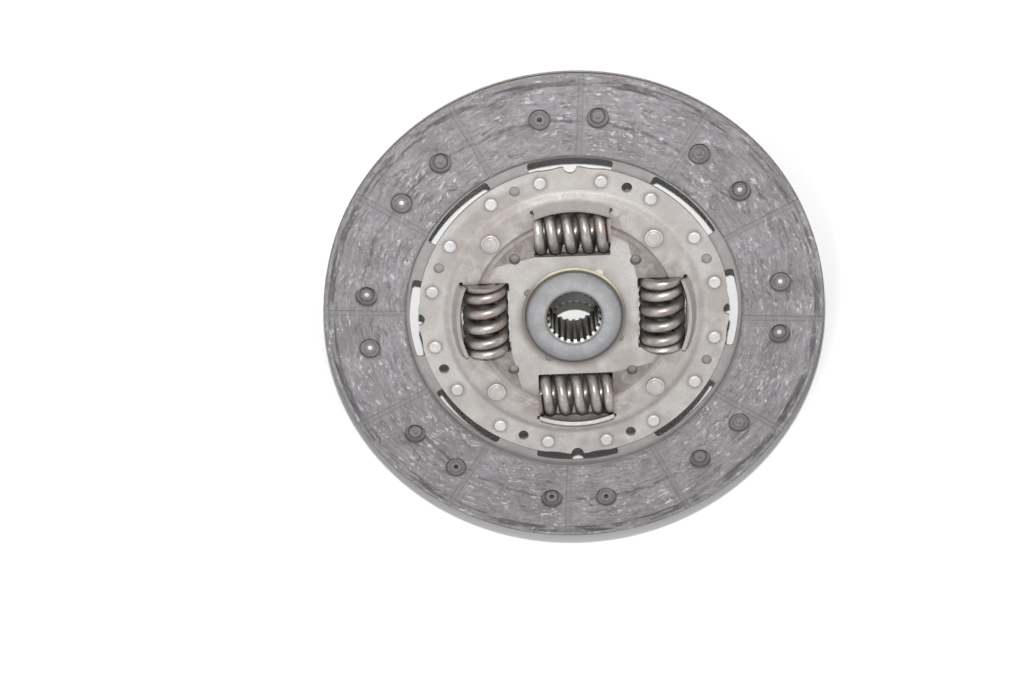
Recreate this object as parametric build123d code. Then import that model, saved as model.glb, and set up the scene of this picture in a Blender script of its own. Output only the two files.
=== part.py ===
from build123d import *
import os
from math import cos, degrees, radians, sin, sqrt, tan

# Dry clutch disc with a torsion damper. Millimetres. The hub's rear end stands on Z = 0 with its
# axis on Z, and the side that faces the flywheel points up (+Z).

# Friction facings and the cushion disc between them
facing_outer_r = 120.0
facing_cover_gap = 5.9
facing_t = 3.5
facing_edge_chamfer = 0.6
groove_count = 12
groove_w = 2.6
groove_depth = 0.7
groove_phase = -3.0
cushion_t = 1.0
cushion_mid_z = 21.0
cushion_rim_lap = 1.2
paddle_count = 8
paddle_split_w = 4.0
paddle_split_lap = 2.4
paddle_inset = 3.0
slot_half_angle = 15.0
slot_w = 7.6
slot_facing_gap = 1.6
slot_corner_r = 1.6

# Rivets that hold the facings, one pair beside each split between paddles
facing_rivet_inset = 0.6
facing_rivet_offset = 7.8
facing_pocket_r = 5.15
facing_seat_t = 1.6
facing_rivet_r = 2.4
facing_rivet_head_r = 4.4
facing_rivet_head_t = 0.9
facing_rivet_eye_r = 1.2
facing_rivet_roll_r = 3.6

# Rivets at the rim of the cover plate
rim_rivet_offset = 12.0
rim_rivet_r = 2.0
rim_rivet_head_r = 3.05
rim_rivet_head_t = 1.5
rim_rivet_round_r = 0.9
rim_rivet_tail_t = 0.9
rim_hole_r = 2.5

# Damper springs
spring_length = 36.0
spring_wire_r = 2.6
spring_outer_r = 11.2
spring_axis_r = 42.4
spring_turns = 5.75
spring_tip_share = 0.25
spring_ramp = 0.15
spring_points_per_turn = 12
spring_phases = (200.0, 250.0, 160.0, 250.0)

# Windows of the damper, in both plates and in the flange
window_count = 4
window_end_gap = 0.05
window_side_gap = 0.6
window_corner_r = 0.8
lip_reach = 5.0
lip_bow_r = 50.0
lip_angle = 63.0
lip_height = 4.7
lip_relief_r = 0.95
lip_relief_inset = 5.1

# Cover plate, the one that carries the cushion disc
plate_t = 1.8
lip_land_w = 1.2
cover_step_w = 3.0
rim_rivet_inset = 6.1
rim_edge_w = 5.8
annulus_rise = 0.4
plateau_reach = 3.5
bead_w = 3.2
bead_depth = 0.5
bead_bend_r = 1.2
step_bend_r = 3.0
rim_notch_r = 3.05
rim_scoop_r = 35.5
rim_scoop_depth = 0.6
rim_scoop_angle = 8.0
small_hole_r = 2.65
small_hole_inset = 1.8
small_hole_angle = 42.5
pocket_sink = 0.35
pocket_tip_angle = 55.2

# Stop pins, which rivet the two plates together and end the damper's travel
pin_inset = 4.0
pin_body_r = 4.3
pin_spigot_r = 3.0
pin_head_r = 4.5
pin_head_t = 1.1
pin_head_round_r = 0.45
pin_crown_r = 3.25
pin_crown_t = 0.5
pin_crown_round_r = 0.3
damper_travel = 7.5
stop_clearance = 0.08

# Hub and its flange
hub_length = 27.6
collar_window_gap = 7.1
collar_edge_r = 1.5
barrel_step = 5.0
barrel_chamfer = 1.5
bore_chamfer = 1.3
bore_chamfer_run = 0.3
spline_count = 24
spline_wall = 5.35
spline_depth = 1.15
spline_tip_share = 0.36
spline_root_share = 0.56
spline_phase = 1.2
flange_t = 3.2
flange_drop = 0.4
flange_overhang = 1.9
seat_tooth_count = 20
seat_root_inset = 3.3
seat_tip_inset = 1.8
seat_clearance = 0.03

# Bushes and the friction pack
running_clearance = 0.05
bush_wall = 1.25
bush_flange_t = 0.7
bush_flange_inset = 1.2
bush_stand = 0.3
ear_angle = 60.0
ear_r = 2.0
ear_clearance = 0.05
rear_bush_wall = 1.9
rear_bush_flange_w = 3.15
friction_ring_gap = 0.4
friction_ring_inset = 0.4
friction_ring_t = 1.4
washer_t = 1.0
washer_tab_w = 6.0
washer_tab_t = 1.0
tab_clearance = 0.2
disc_spring_t = 0.9
disc_spring_h = 2.0
disc_spring_inset = 1.8
rear_plate_overhang = 3.0
rear_dish_reach = 2.6
rear_dish_wall_w = 3.4

# Radii that follow, from the springs outwards
window_length = spring_length + 2 * window_end_gap
window_half = window_length / 2
window_inner_x = spring_axis_r - spring_outer_r - window_side_gap
flange_window_outer_x = spring_axis_r + spring_outer_r + window_side_gap
lip_root_x = spring_axis_r + spring_outer_r + lip_reach
lip_relief_x = lip_root_x - lip_relief_inset
flange_outer_r = lip_root_x + flange_overhang
rear_plate_outer_r = lip_root_x + rear_plate_overhang
rear_dish_r = spring_axis_r + rear_dish_reach
rear_dish_top_r = rear_dish_r + rear_dish_wall_w
pin_circle_r = lip_root_x - pin_inset
plateau_outer_r = spring_axis_r + plateau_reach
annulus_inner_r = plateau_outer_r + bead_w
small_hole_circle_r = spring_axis_r - small_hole_inset
cover_step_r = lip_root_x + lip_land_w
cover_rim_inner_r = cover_step_r + cover_step_w
rim_rivet_circle_r = cover_rim_inner_r + rim_rivet_inset
cover_outer_r = rim_rivet_circle_r + rim_edge_w
cushion_inner_r = cover_rim_inner_r + cushion_rim_lap
facing_inner_r = cover_outer_r + facing_cover_gap
facing_rivet_circle_r = (facing_inner_r + facing_outer_r) / 2 - facing_rivet_inset
slot_outer_r = facing_inner_r - slot_facing_gap
slot_inner_r = slot_outer_r - slot_w
paddle_outer_r = facing_outer_r - paddle_inset

# Radii that follow at the hub
collar_r = window_inner_x - collar_window_gap
barrel_r = collar_r - barrel_step
spline_major_r = barrel_r - spline_wall
spline_tip_r = spline_major_r - spline_depth
seat_root_r = collar_r - seat_root_inset
seat_tip_r = collar_r - seat_tip_inset
bush_inner_r = collar_r + running_clearance
bush_outer_r = bush_inner_r + bush_wall
bush_flange_r = window_inner_x - bush_flange_inset
cover_hole_r = bush_outer_r + ear_clearance
rear_bush_inner_r = barrel_r + running_clearance
rear_bush_outer_r = rear_bush_inner_r + rear_bush_wall
rear_bush_flange_r = rear_bush_outer_r + rear_bush_flange_w
rear_hole_r = rear_bush_outer_r + running_clearance
friction_ring_inner_r = rear_bush_flange_r + friction_ring_gap
friction_ring_outer_r = window_inner_x - friction_ring_inset
disc_spring_outer_r = friction_ring_outer_r - disc_spring_inset

# Heights that follow
cushion_top_z = cushion_mid_z + cushion_t / 2
cushion_bottom_z = cushion_mid_z - cushion_t / 2
flange_mid_z = cushion_mid_z - flange_drop
flange_top_z = flange_mid_z + flange_t / 2
flange_bottom_z = flange_mid_z - flange_t / 2
plateau_under_z = flange_top_z + bush_flange_t
plateau_z = plateau_under_z + plate_t
annulus_z = plateau_z + annulus_rise
rim_z = cushion_top_z + plate_t
friction_bottom_z = flange_bottom_z - friction_ring_t
washer_bottom_z = friction_bottom_z - washer_t
rear_dish_z = washer_bottom_z - disc_spring_h
rear_annulus_z = 2 * flange_mid_z - (annulus_z - plate_t)

# Angles at which the repeated pieces sit
window_pitch = 360 / window_count
slot_pitch = 360 / paddle_count
slot_angles = [k * slot_pitch for k in range(paddle_count)]
rim_hole_angles = [(k + 0.5) * slot_pitch for k in range(paddle_count)]
cushion_hole_angles = [rim_hole_angles[k] for k in (1, 4, 5, 6)]
rim_rivet_angles = [a + s * rim_rivet_offset for a in slot_angles for s in (-1, 1)]
front_rivet_angles = [a + facing_rivet_offset for a in slot_angles]
rear_rivet_angles = [a - facing_rivet_offset for a in slot_angles]
window_angles = [k * window_pitch for k in range(window_count)]
pin_angles = [(k + 0.5) * window_pitch for k in range(window_count)]

# Overlap of cutters past what they cut, and of solids that are joined
cut_over = 1.0
joint_overlap = 0.3


def around(shape, angles):
    """The same solid or sketch, turned about the hub's axis to each angle."""
    return [Rot(0, 0, a) * shape for a in angles]


def polar(r, a):
    """The point at a radius and an angle in degrees."""
    return (r * cos(radians(a)), r * sin(radians(a)))


def post(r, z_low, z_high, x=0.0):
    """A round post, or the cutter for a round hole, standing at x."""
    return Pos(x, 0, z_low) * extrude(Circle(r), z_high - z_low)


def hole(r, x):
    """A cutter for a hole through the whole height of the disc."""
    return post(r, -cut_over, 2 * hub_length, x)


def turned(points):
    """The solid swept about Z by a closed outline of radius and height pairs."""
    return revolve(make_face(Plane.XZ * Polyline(*points, close=True)), Axis.Z)


def sector(r_in, r_out, half_angle):
    """A piece of a flat ring, centred on X."""
    corners = [polar(r_in, -half_angle), polar(r_out, -half_angle)]
    corners += [polar(r_out, half_angle), polar(r_in, half_angle)]
    outer = ThreePointArc(corners[1], (r_out, 0), corners[2])
    inner = ThreePointArc(corners[3], (r_in, 0), corners[0])
    return make_face([Line(corners[0], corners[1]), outer, Line(corners[2], corners[3]), inner])


def lip_bow(r, x):
    """A circle that bows a window's outer edge, r and x measured where it crosses the X axis."""
    return Pos(x - r, 0) * Circle(r)


def plate_window():
    """A window in either plate: straight inside and at both ends, bowed at the root of its lip."""
    strip = Pos(window_inner_x + lip_root_x / 2, 0) * Rectangle(lip_root_x, window_length)
    window = strip & lip_bow(lip_bow_r, lip_root_x)
    return fillet(window.vertices().sort_by(Axis.X)[:2], window_corner_r)


def flange_window():
    """A window in the flange, with all its sides straight."""
    depth = flange_window_outer_x - window_inner_x
    window = Pos(window_inner_x + depth / 2, 0) * Rectangle(depth, window_length)
    return fillet(window.vertices(), window_corner_r)


def facing(own_angles, other_angles):
    """One friction ring with its working face up, its back on Z = 0."""
    ring = extrude(Circle(facing_outer_r) - Circle(facing_inner_r), facing_t)
    rims = ring.edges().filter_by(GeomType.CIRCLE).group_by(Axis.Z)[-1]
    ring = chamfer(rims, facing_edge_chamfer)
    land_w = facing_outer_r - facing_inner_r + 2 * cut_over
    groove = Box(land_w, groove_w, 2 * groove_depth)
    groove = Pos((facing_outer_r + facing_inner_r) / 2, 0, facing_t) * groove
    ring -= around(groove, [groove_phase + 360 / groove_count * k for k in range(groove_count)])
    head_pocket = post(facing_pocket_r, facing_seat_t, facing_t + cut_over, facing_rivet_circle_r)
    shank_hole = hole(facing_rivet_r, facing_rivet_circle_r)
    access_hole = hole(facing_pocket_r, facing_rivet_circle_r)
    ring -= around(head_pocket + shank_hole, own_angles)
    ring -= around(access_hole, other_angles)
    return ring


def front_facing():
    return Pos(0, 0, cushion_top_z) * facing(front_rivet_angles, rear_rivet_angles)


def rear_facing():
    flipped = facing([-a for a in rear_rivet_angles], [-a for a in front_rivet_angles])
    return Pos(0, 0, cushion_bottom_z) * Rot(180, 0, 0) * flipped


def facing_rivet(head_down):
    """A tubular rivet: its head in the facing's pocket, its end rolled over on the cushion disc."""
    seat_z = cushion_t / 2 + facing_seat_t
    head = post(facing_rivet_head_r, seat_z, seat_z + facing_rivet_head_t)
    shank = post(facing_rivet_r, -cushion_t / 2 - facing_rivet_head_t, seat_z)
    roll = post(facing_rivet_roll_r, -cushion_t / 2 - facing_rivet_head_t, -cushion_t / 2)
    roll = chamfer(roll.edges().sort_by(Axis.Z)[0], facing_rivet_head_t / 2)
    rivet = head + shank + roll - Pos(0, 0, -hub_length) * hole(facing_rivet_eye_r, 0)
    turn = Rot(180, 0, 0) if head_down else Rot(0, 0, 0)
    return Pos(facing_rivet_circle_r, 0, cushion_mid_z) * turn * rivet


def cushion_disc():
    """Spring steel carrier of the facings, split into paddles outside the slots."""
    sheet = Circle(paddle_outer_r) - Circle(cushion_inner_r)
    slot = sector(slot_inner_r, slot_outer_r, slot_half_angle)
    slot = fillet(slot.vertices(), slot_corner_r)
    split_inner_r = facing_inner_r + paddle_split_lap
    split_length = facing_outer_r - split_inner_r + cut_over
    split = Pos(split_inner_r + split_length / 2, 0) * Rectangle(split_length, paddle_split_w)
    sheet -= around(slot, slot_angles) + around(split, slot_angles)
    disc = Pos(0, 0, cushion_bottom_z) * extrude(sheet, cushion_t)
    disc -= around(hole(rim_rivet_r, rim_rivet_circle_r), rim_rivet_angles)
    disc -= around(hole(rim_hole_r, rim_rivet_circle_r), cushion_hole_angles)
    disc -= around(hole(facing_rivet_r, facing_rivet_circle_r), front_rivet_angles + rear_rivet_angles)
    return disc


def plate_lip(annulus_top, up):
    """The hood over a spring: the window's outer edge, bent away from the flange."""
    a = radians(lip_angle)
    root = (lip_bow_r, 0)
    root_in = (lip_bow_r - plate_t * tan(a / 2), -plate_t)
    tip = (lip_bow_r - lip_height / tan(a), lip_height)
    tip_in = (tip[0] - plate_t * sin(a), tip[1] - plate_t * cos(a))
    outer = lip_bow_r + joint_overlap
    outline = [(outer, 0), root, tip, tip_in, root_in, (outer, -plate_t)]
    hood = turned([(r, up * z) for r, z in outline])
    hood = Pos(lip_root_x - lip_bow_r, 0, annulus_top) * hood
    keep = Pos(lip_root_x, 0, annulus_top) * Box(lip_root_x, window_length, 4 * lip_height)
    return hood & keep


def plate_windows(plate, annulus_top, up):
    """Cut the spring windows and hang a lip in each."""
    opening = Pos(0, 0, -cut_over) * extrude(plate_window(), 2 * hub_length)
    plate -= around(opening, window_angles)
    plate += around(plate_lip(annulus_top, up), window_angles)
    relief = hole(lip_relief_r, lip_relief_x)
    relief_y = window_half + lip_relief_r / 2
    plate -= around(Pos(0, relief_y, 0) * relief, window_angles)
    plate -= around(Pos(0, -relief_y, 0) * relief, window_angles)
    return plate


def cover_profile():
    """Section of the cover plate, a sheet bent at the bead and at the step down to the rim."""
    bead_z = plateau_z - bead_depth
    line = [(cover_hole_r, plateau_z), (plateau_outer_r, plateau_z)]
    line += [(plateau_outer_r + bead_w / 3, bead_z), (annulus_inner_r - bead_w / 3, bead_z)]
    line += [(annulus_inner_r, annulus_z), (cover_step_r, annulus_z)]
    line += [(cover_rim_inner_r, rim_z), (cover_outer_r, rim_z)]
    section = make_face(Polyline(*line, *[(r, z - plate_t) for r, z in reversed(line)], close=True))
    bends = section.vertices()
    section = fillet([v for v in bends if plateau_outer_r - 1 < v.X < annulus_inner_r + 1], bead_bend_r)
    bends = section.vertices()
    return fillet([v for v in bends if cover_step_r - 1 < v.X < cover_rim_inner_r + 1], step_bend_r)


def pocket_outline():
    """Triangular pocket beside a window: an end edge, the bead and a slanting third side."""
    corner = (window_inner_x, window_half)
    far_x = sqrt(plateau_outer_r**2 - window_half**2)
    tip = polar(plateau_outer_r, pocket_tip_angle)
    middle = polar(plateau_outer_r, (pocket_tip_angle + degrees(window_half / plateau_outer_r)) / 2)
    edge = Line(corner, (far_x, window_half))
    bow = ThreePointArc((far_x, window_half), middle, tip)
    return make_face([edge, bow, Line(tip, corner)])


def cover_plate():
    plate = revolve(Plane.XZ * cover_profile(), Axis.Z)
    plate = plate_windows(plate, annulus_z, 1)
    pocket = pocket_outline()
    sunk = Pos(0, 0, plateau_z - pocket_sink) * extrude(pocket, pocket_sink + cut_over)
    pushed = Pos(0, 0, plateau_under_z - pocket_sink) * extrude(pocket, pocket_sink)
    plate -= around(sunk, window_angles)
    plate += around(pushed, window_angles)
    plate -= around(hole(small_hole_r, small_hole_circle_r), [small_hole_angle + a for a in window_angles])
    plate -= around(hole(pin_spigot_r, pin_circle_r), pin_angles)
    plate -= around(hole(ear_r + ear_clearance, cover_hole_r), [ear_angle + a for a in window_angles])
    plate -= around(hole(rim_rivet_r, rim_rivet_circle_r), rim_rivet_angles)
    plate -= around(hole(rim_hole_r, rim_rivet_circle_r), rim_hole_angles)
    plate -= around(hole(rim_notch_r, cover_outer_r), window_angles)
    scoop = hole(rim_scoop_r, cover_outer_r + rim_scoop_r - rim_scoop_depth)
    plate -= around(scoop, [a + s * rim_scoop_angle for a in window_angles for s in (-1, 1)])
    return plate


def rear_plate():
    """The smaller plate on the gearbox side, dished round the friction pack."""
    line = [(rear_hole_r, rear_dish_z), (rear_dish_r, rear_dish_z)]
    line += [(rear_dish_top_r, rear_annulus_z), (rear_plate_outer_r, rear_annulus_z)]
    plate = turned(line + [(r, z - plate_t) for r, z in reversed(line)])
    plate = plate_windows(plate, rear_annulus_z - plate_t, -1)
    plate -= around(hole(pin_spigot_r, pin_circle_r), pin_angles)
    slot_r = friction_ring_outer_r - washer_tab_t / 2
    tab_slot = Pos(slot_r, 0, rear_dish_z) * Box(
        washer_tab_t + 2 * tab_clearance, washer_tab_w + 2 * tab_clearance, 4 * plate_t
    )
    plate -= around(tab_slot, pin_angles)
    return plate


def rim_rivet():
    """A rivet through cover plate and cushion disc, with a domed head."""
    shank = post(rim_rivet_r, cushion_bottom_z, rim_z)
    head = post(rim_rivet_head_r, rim_z, rim_z + rim_rivet_head_t)
    head = fillet(head.edges().group_by(Axis.Z)[-1], rim_rivet_round_r)
    tail = post(rim_rivet_head_r, cushion_bottom_z - rim_rivet_tail_t, cushion_bottom_z)
    tail = chamfer(tail.edges().group_by(Axis.Z)[0], rim_rivet_tail_t / 2)
    return Pos(rim_rivet_circle_r, 0, 0) * (shank + head + tail)


def stop_pin():
    """A shouldered pin between the plates, riveted over outside both."""
    rear_under_z = rear_annulus_z - plate_t
    body = post(pin_body_r, rear_annulus_z, annulus_z - plate_t)
    spigot = post(pin_spigot_r, rear_under_z, annulus_z)
    head = post(pin_head_r, annulus_z, annulus_z + pin_head_t)
    head = fillet(head.edges().group_by(Axis.Z)[-1], pin_head_round_r)
    crown = post(pin_crown_r, annulus_z + pin_head_t, annulus_z + pin_head_t + pin_crown_t)
    crown = fillet(crown.edges().group_by(Axis.Z)[-1], pin_crown_round_r)
    tail = post(pin_head_r, rear_under_z - pin_head_t, rear_under_z)
    tail = fillet(tail.edges().group_by(Axis.Z)[0], pin_head_round_r)
    return Pos(pin_circle_r, 0, 0) * (body + spigot + head + crown + tail)


def spline_space():
    """One space between two spline teeth, wider at the bore than at its root."""
    step = 360 / spline_count
    half_bore = step * (1 - spline_tip_share) / 2
    half_root = step * (1 - spline_root_share) / 2
    mouth_r = spline_tip_r - joint_overlap
    points = [polar(mouth_r, -half_bore), polar(spline_major_r, -half_root)]
    points += [polar(spline_major_r, half_root), polar(mouth_r, half_bore)]
    return make_face(Polyline(*points, close=True))


def seat_outline(grow):
    """The toothed seat that drives the flange, grown outwards all round by a clearance."""
    seat = Circle(seat_root_r + grow)
    step = 360 / seat_tooth_count
    flank = sector(seat_root_r - joint_overlap, seat_tip_r + grow, step / 4 + degrees(grow / seat_tip_r))
    return seat + around(flank, [step * k for k in range(seat_tooth_count)])


def splined_hub():
    barrel = chamfer(post(barrel_r, 0, flange_bottom_z).edges().group_by(Axis.Z)[0], barrel_chamfer)
    seat = Pos(0, 0, flange_bottom_z) * extrude(seat_outline(0), flange_t)
    collar = post(collar_r, flange_top_z, hub_length)
    collar = fillet(collar.edges().group_by(Axis.Z)[-1], collar_edge_r)
    hub = barrel + seat + collar - hole(spline_tip_r, 0)
    step = 360 / spline_count
    spaces = around(spline_space(), [spline_phase + step * (k + 0.5) for k in range(spline_count)])
    hub -= [Pos(0, 0, -cut_over) * extrude(s, hub_length + 2 * cut_over) for s in spaces]
    mouth_r = spline_major_r + bore_chamfer_run
    cone_r = mouth_r - bore_chamfer
    front_cone = [(0, hub_length - bore_chamfer), (cone_r, hub_length - bore_chamfer)]
    front_cone += [(mouth_r, hub_length), (mouth_r, hub_length + cut_over), (0, hub_length + cut_over)]
    rear_cone = [(r, hub_length - z) for r, z in front_cone]
    return hub - turned(front_cone) - turned(rear_cone)


def hub_flange():
    """The driven cross: a window for each spring and an open notch for each stop pin."""
    sheet = Circle(flange_outer_r) - seat_outline(seat_clearance)
    sheet -= around(flange_window(), window_angles)
    notch_r = pin_body_r + stop_clearance
    floor_r = pin_circle_r - notch_r
    notch = sector(floor_r, flange_outer_r + cut_over, damper_travel)
    for side in (-1, 1):
        turn = Rot(0, 0, side * damper_travel)
        notch += turn * Pos(pin_circle_r, 0) * Circle(notch_r)
        notch += turn * Pos(pin_circle_r + notch_r, 0) * Rectangle(2 * notch_r, 2 * notch_r)
    sheet -= around(notch, pin_angles)
    return Pos(0, 0, flange_bottom_z) * extrude(sheet, flange_t)


def front_bush():
    """The plastic bush between collar and cover plate, keyed by four ears."""
    sleeve_top = plateau_z + bush_stand
    sleeve = post(bush_outer_r, flange_top_z, sleeve_top)
    ears = around(post(ear_r, plateau_under_z, plateau_z, cover_hole_r), [ear_angle + a for a in window_angles])
    flange = post(bush_flange_r, flange_top_z, plateau_under_z)
    return (sleeve + ears + flange) - hole(bush_inner_r, 0)


def rear_bush():
    """The plastic sleeve that centres the rear plate on the hub's barrel."""
    sleeve = post(rear_bush_outer_r, rear_dish_z - plate_t, flange_bottom_z)
    flange = post(rear_bush_flange_r, flange_bottom_z - friction_ring_t / 2, flange_bottom_z)
    return (sleeve + flange) - hole(rear_bush_inner_r, 0)


def friction_ring():
    return post(friction_ring_outer_r, friction_bottom_z, flange_bottom_z) - hole(friction_ring_inner_r, 0)


def pressure_washer():
    """The steel washer under the friction ring, keyed to the rear plate by four bent tabs."""
    washer = post(friction_ring_outer_r, washer_bottom_z, friction_bottom_z)
    washer -= hole(rear_hole_r, 0)
    tab_h = friction_bottom_z - (rear_dish_z - plate_t)
    tab = Box(washer_tab_t, washer_tab_w, tab_h)
    tab_r = friction_ring_outer_r - washer_tab_t / 2
    tab = Pos(tab_r, 0, friction_bottom_z - tab_h / 2) * tab
    return washer + around(tab, pin_angles)


def disc_spring():
    """The coned spring that presses the friction pack together."""
    inner_r = rear_hole_r + tab_clearance
    low_z = rear_dish_z
    high_z = washer_bottom_z
    outline = [(inner_r, high_z - disc_spring_t), (disc_spring_outer_r, low_z)]
    outline += [(disc_spring_outer_r, low_z + disc_spring_t), (inner_r, high_z)]
    return turned(outline)


def spring_height(turn):
    """Height of the wire's centre after so many turns: end coils lie closed, the rest are open."""
    wire_d = 2 * spring_wire_r
    rise = spring_length + 2 * spring_tip_share * wire_d
    spare = rise - wire_d * spring_turns
    u = min(max((turn - 1) / (spring_turns - 2), 0), 1)
    w = spring_ramp
    if u < w:
        share = u * u / (2 * w)
    elif u > 1 - w:
        share = 1 - w - (1 - u) ** 2 / (2 * w)
    else:
        share = u - w / 2
    return -spring_tip_share * wire_d + wire_d * turn + spare * share / (1 - w)


def coil_spring():
    """A right-hand compression spring on Z with closed, ground ends."""
    mean_r = spring_outer_r - spring_wire_r
    steps = round(spring_turns * spring_points_per_turn)
    points = []
    for k in range(steps + 1):
        turn = spring_turns * k / steps
        x, y = polar(mean_r, 360 * turn)
        points.append((x, y, spring_height(turn)))
    path = Spline(*points)
    start = Plane(origin=path @ 0, z_dir=path % 0)
    wire = sweep(start * Circle(spring_wire_r), path, is_frenet=True)
    slab = Box(4 * spring_outer_r, 4 * spring_outer_r, spring_length)
    return wire & (Pos(0, 0, spring_length / 2) * slab)


def placed_spring(coil, index):
    """A spring laid in its window, its axis along the window's length."""
    turned_coil = Rot(0, 0, spring_phases[index]) * Pos(0, 0, -spring_length / 2) * coil
    laid = Pos(spring_axis_r, 0, flange_mid_z) * Rot(-90, 0, 0) * turned_coil
    return Rot(0, 0, window_angles[index]) * laid


coil = coil_spring()
pieces = {
    "front_facing": front_facing(),
    "rear_facing": rear_facing(),
    "cushion_disc": cushion_disc(),
    "front_facing_rivets": around(facing_rivet(False), front_rivet_angles),
    "rear_facing_rivets": around(facing_rivet(True), rear_rivet_angles),
    "cover_plate": cover_plate(),
    "rear_plate": rear_plate(),
    "rim_rivets": around(rim_rivet(), rim_rivet_angles),
    "stop_pins": around(stop_pin(), pin_angles),
    "splined_hub": splined_hub(),
    "hub_flange": hub_flange(),
    "front_bush": front_bush(),
    "rear_bush": rear_bush(),
    "friction_ring": friction_ring(),
    "pressure_washer": pressure_washer(),
    "disc_spring": disc_spring(),
}
for index in range(window_count):
    pieces[f"damper_spring_{index + 1}"] = placed_spring(coil, index)

os.makedirs("parts", exist_ok=True)
for name, shape in pieces.items():
    solids = shape if isinstance(shape, list) else [shape]
    node = Compound(children=[Solid(s.solid().wrapped) for s in solids]) if len(solids) > 1 else shape
    export_step(node, f"parts/{name}.step")
    print(name, round(node.volume, 1))
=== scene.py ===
import bpy
from math import cos, pi, radians, sin
from mathutils import Matrix, Vector


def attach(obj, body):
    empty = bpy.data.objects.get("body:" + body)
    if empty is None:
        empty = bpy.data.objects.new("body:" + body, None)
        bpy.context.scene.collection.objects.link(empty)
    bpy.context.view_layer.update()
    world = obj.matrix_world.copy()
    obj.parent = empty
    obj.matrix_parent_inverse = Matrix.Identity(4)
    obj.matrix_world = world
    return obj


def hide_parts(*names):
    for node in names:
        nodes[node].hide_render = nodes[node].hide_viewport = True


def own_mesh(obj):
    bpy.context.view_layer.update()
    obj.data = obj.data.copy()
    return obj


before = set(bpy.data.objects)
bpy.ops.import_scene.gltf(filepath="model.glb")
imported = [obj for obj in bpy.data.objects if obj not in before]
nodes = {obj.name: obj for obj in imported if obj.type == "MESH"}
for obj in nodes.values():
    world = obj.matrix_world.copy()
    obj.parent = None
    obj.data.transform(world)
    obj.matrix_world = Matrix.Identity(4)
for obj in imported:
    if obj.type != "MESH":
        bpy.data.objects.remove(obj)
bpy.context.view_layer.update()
bpy.ops.object.select_all(action="DESELECT")
print("frame loaded:", len(nodes), "nodes")

mm = 0.001

# camera, lamps and floor
view = {
    "place": (-0.02084, 0.43018, 1.01972),
    "right": (0.999324, -0.036154, 0.0066597),
    "up": (0.035741, 0.913068, -0.406238),
    "back": (0.0086065, 0.406202, 0.913743),
    "lens": 79.48,
    "sensor": 36.0,
}
light = {
    "aim": (0, 0, 0.02),
    "keyPlace": (-0.02, 0.53, 0.90),
    "keySize": 0.035,
    "keyPower": 9.9,
    "sidePlace": (-0.5, -0.3, 1.0),
    "sideSize": 0.6,
    "sidePower": 1.3,
    "worldLevel": 0.24,
    "worldSeen": 1.0,
    "floorColour": (0.95, 0.95, 0.95),
    "floorRoughness": 0.7,
    "floorSize": 4.0,
    # under the bore, in mm: where the lamp reaches the floor, and what stays lit of that
    "boreR": 13.6,
    "boreOpen": (0.6, -16.8, 0.0),
    "boreOpenEdge": (0.6, -0.2),
    "boreLit": (0.6, -21.2, 0.0),
    "boreLitEdge": (-0.5, 0.4),
    "boreShade": (0.085, 0.083, 0.072),
    # a lift begins at the first radius and is full at the second
    "nearLift": 0.42,
    "nearFrom": (126.0, 150.0),
    "floorLift": 0.62,
    "floorFrom": (140.0, 520.0),
}


def aimed(place):
    # a matrix at a place, with -Z toward the aim
    toward = Vector(light["aim"]) - Vector(place)
    return Matrix.Translation(place) @ toward.to_track_quat("-Z", "Y").to_matrix().to_4x4()


def addCamera():
    data = bpy.data.cameras.new("camera")
    data.lens = view["lens"]
    data.sensor_width = view["sensor"]
    data.clip_start = 0.01
    camera = bpy.data.objects.new("camera", data)
    bpy.context.scene.collection.objects.link(camera)
    turn = Matrix((view["right"], view["up"], view["back"])).transposed().to_4x4()
    camera.matrix_world = Matrix.Translation(view["place"]) @ turn
    bpy.context.scene.camera = camera


def addLamp(name, place, size, power):
    data = bpy.data.lights.new(name, "AREA")
    data.shape = "DISK"
    data.size = size
    data.energy = power
    lamp = bpy.data.objects.new(name, data)
    bpy.context.scene.collection.objects.link(lamp)
    lamp.matrix_world = aimed(place)


def addWorld():
    world = bpy.data.worlds.new("studio")
    bpy.context.scene.world = world
    world.use_nodes = True
    tree = world.node_tree
    tree.nodes.clear()
    out = tree.nodes.new("ShaderNodeOutputWorld")
    background = tree.nodes.new("ShaderNodeBackground")
    background.inputs["Color"].default_value = (1, 1, 1, 1)
    path = tree.nodes.new("ShaderNodeLightPath")
    level = tree.nodes.new("ShaderNodeMapRange")
    level.inputs["To Min"].default_value = light["worldLevel"]
    level.inputs["To Max"].default_value = light["worldSeen"]
    seen = tree.nodes.new("ShaderNodeMath")
    seen.operation = "MAXIMUM"
    tree.links.new(path.outputs["Is Camera Ray"], seen.inputs[0])
    tree.links.new(path.outputs["Is Glossy Ray"], seen.inputs[1])
    tree.links.new(seen.outputs[0], level.inputs["Value"])
    tree.links.new(level.outputs["Result"], background.inputs["Strength"])
    tree.links.new(background.outputs["Background"], out.inputs["Surface"])


addCamera()
addLamp("keyLamp", light["keyPlace"], light["keySize"], light["keyPower"])
addLamp("sideLamp", light["sidePlace"], light["sideSize"], light["sidePower"])
addWorld()
bpy.context.scene.view_settings.view_transform = "Standard"
print("camera and lamps set")


# small helpers for material nodes; coordinates are in millimetres on the object
def newMaterial(name):
    material = bpy.data.materials.new(name)
    material.use_nodes = True
    tree = material.node_tree
    tree.nodes.clear()
    out = tree.nodes.new("ShaderNodeOutputMaterial")
    shader = tree.nodes.new("ShaderNodeBsdfPrincipled")
    tree.links.new(shader.outputs["BSDF"], out.inputs["Surface"])
    return material, tree, shader


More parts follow.
